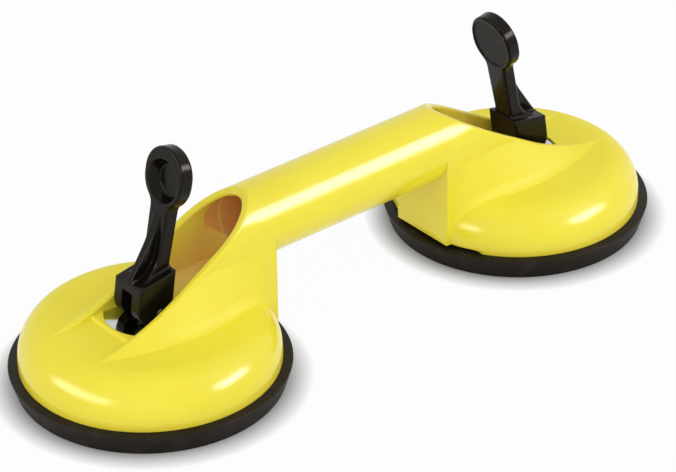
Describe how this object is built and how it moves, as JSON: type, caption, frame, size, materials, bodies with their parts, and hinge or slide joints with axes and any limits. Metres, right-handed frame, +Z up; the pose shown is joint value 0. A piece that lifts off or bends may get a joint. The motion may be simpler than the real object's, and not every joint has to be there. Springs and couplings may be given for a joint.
{
  "type": "suction cup lifter",
  "caption": "Moulded carrying handle with a domed suction cup at each end; an upright cam lever on each cup draws up a rubber pad to grip glass, tile or sheet.",
  "frame": {"origin": "on the floor, midway between the two cups", "axes": "+Z up; +X along the handle, towards the right cup"},
  "size_m": [0.326, 0.12, 0.1051],
  "materials": {
    "yellow_plastic": "glossy yellow injection moulding",
    "black_plastic": "black glass-filled plastic with a low sheen",
    "pad_rubber": "smooth matt black rubber",
    "plain_steel": "zinc plated steel",
    "polished_steel": "bright polished steel"
  },
  "bodies": {
    "housing": {"handle_body": "yellow_plastic", "left_suction_pad": "pad_rubber", "left_wear_plate": "polished_steel", "right_suction_pad": "pad_rubber", "right_wear_plate": "polished_steel"},
    "left_lift": {"left_pad_plate": "plain_steel", "left_draw_bar": "plain_steel"},
    "left_cam_lever": {"left_lever": "black_plastic", "left_pivot_pin": "plain_steel"},
    "right_lift": {"right_pad_plate": "plain_steel", "right_draw_bar": "plain_steel"},
    "right_cam_lever": {"right_lever": "black_plastic", "right_pivot_pin": "plain_steel"}
  },
  "joints": [
    {"name": "left_lift_slide", "type": "slide", "parent": "housing", "child": "left_lift", "axis": [0, 0, 1], "range_m": [0, 0.0078], "deforming": ["left_suction_pad"]},
    {"name": "left_lever_swing", "type": "hinge", "parent": "left_lift", "child": "left_cam_lever", "pos_m": [-0.103, 0, 0.0353], "axis": [0, -1, 0], "range_deg": [0, 98.8]},
    {"name": "right_lift_slide", "type": "slide", "parent": "housing", "child": "right_lift", "axis": [0, 0, 1], "range_m": [0, 0.0078], "deforming": ["right_suction_pad"]},
    {"name": "right_lever_swing", "type": "hinge", "parent": "right_lift", "child": "right_cam_lever", "pos_m": [0.103, 0, 0.0353], "axis": [0, 1, 0], "range_deg": [0, 98.8]}
  ],
  "couplings": [
    {"joint": "left_lift_slide", "follows": "left_lever_swing", "m_per_rad": 0.0045},
    {"joint": "right_lift_slide", "follows": "right_lever_swing", "m_per_rad": 0.0045}
  ]
}
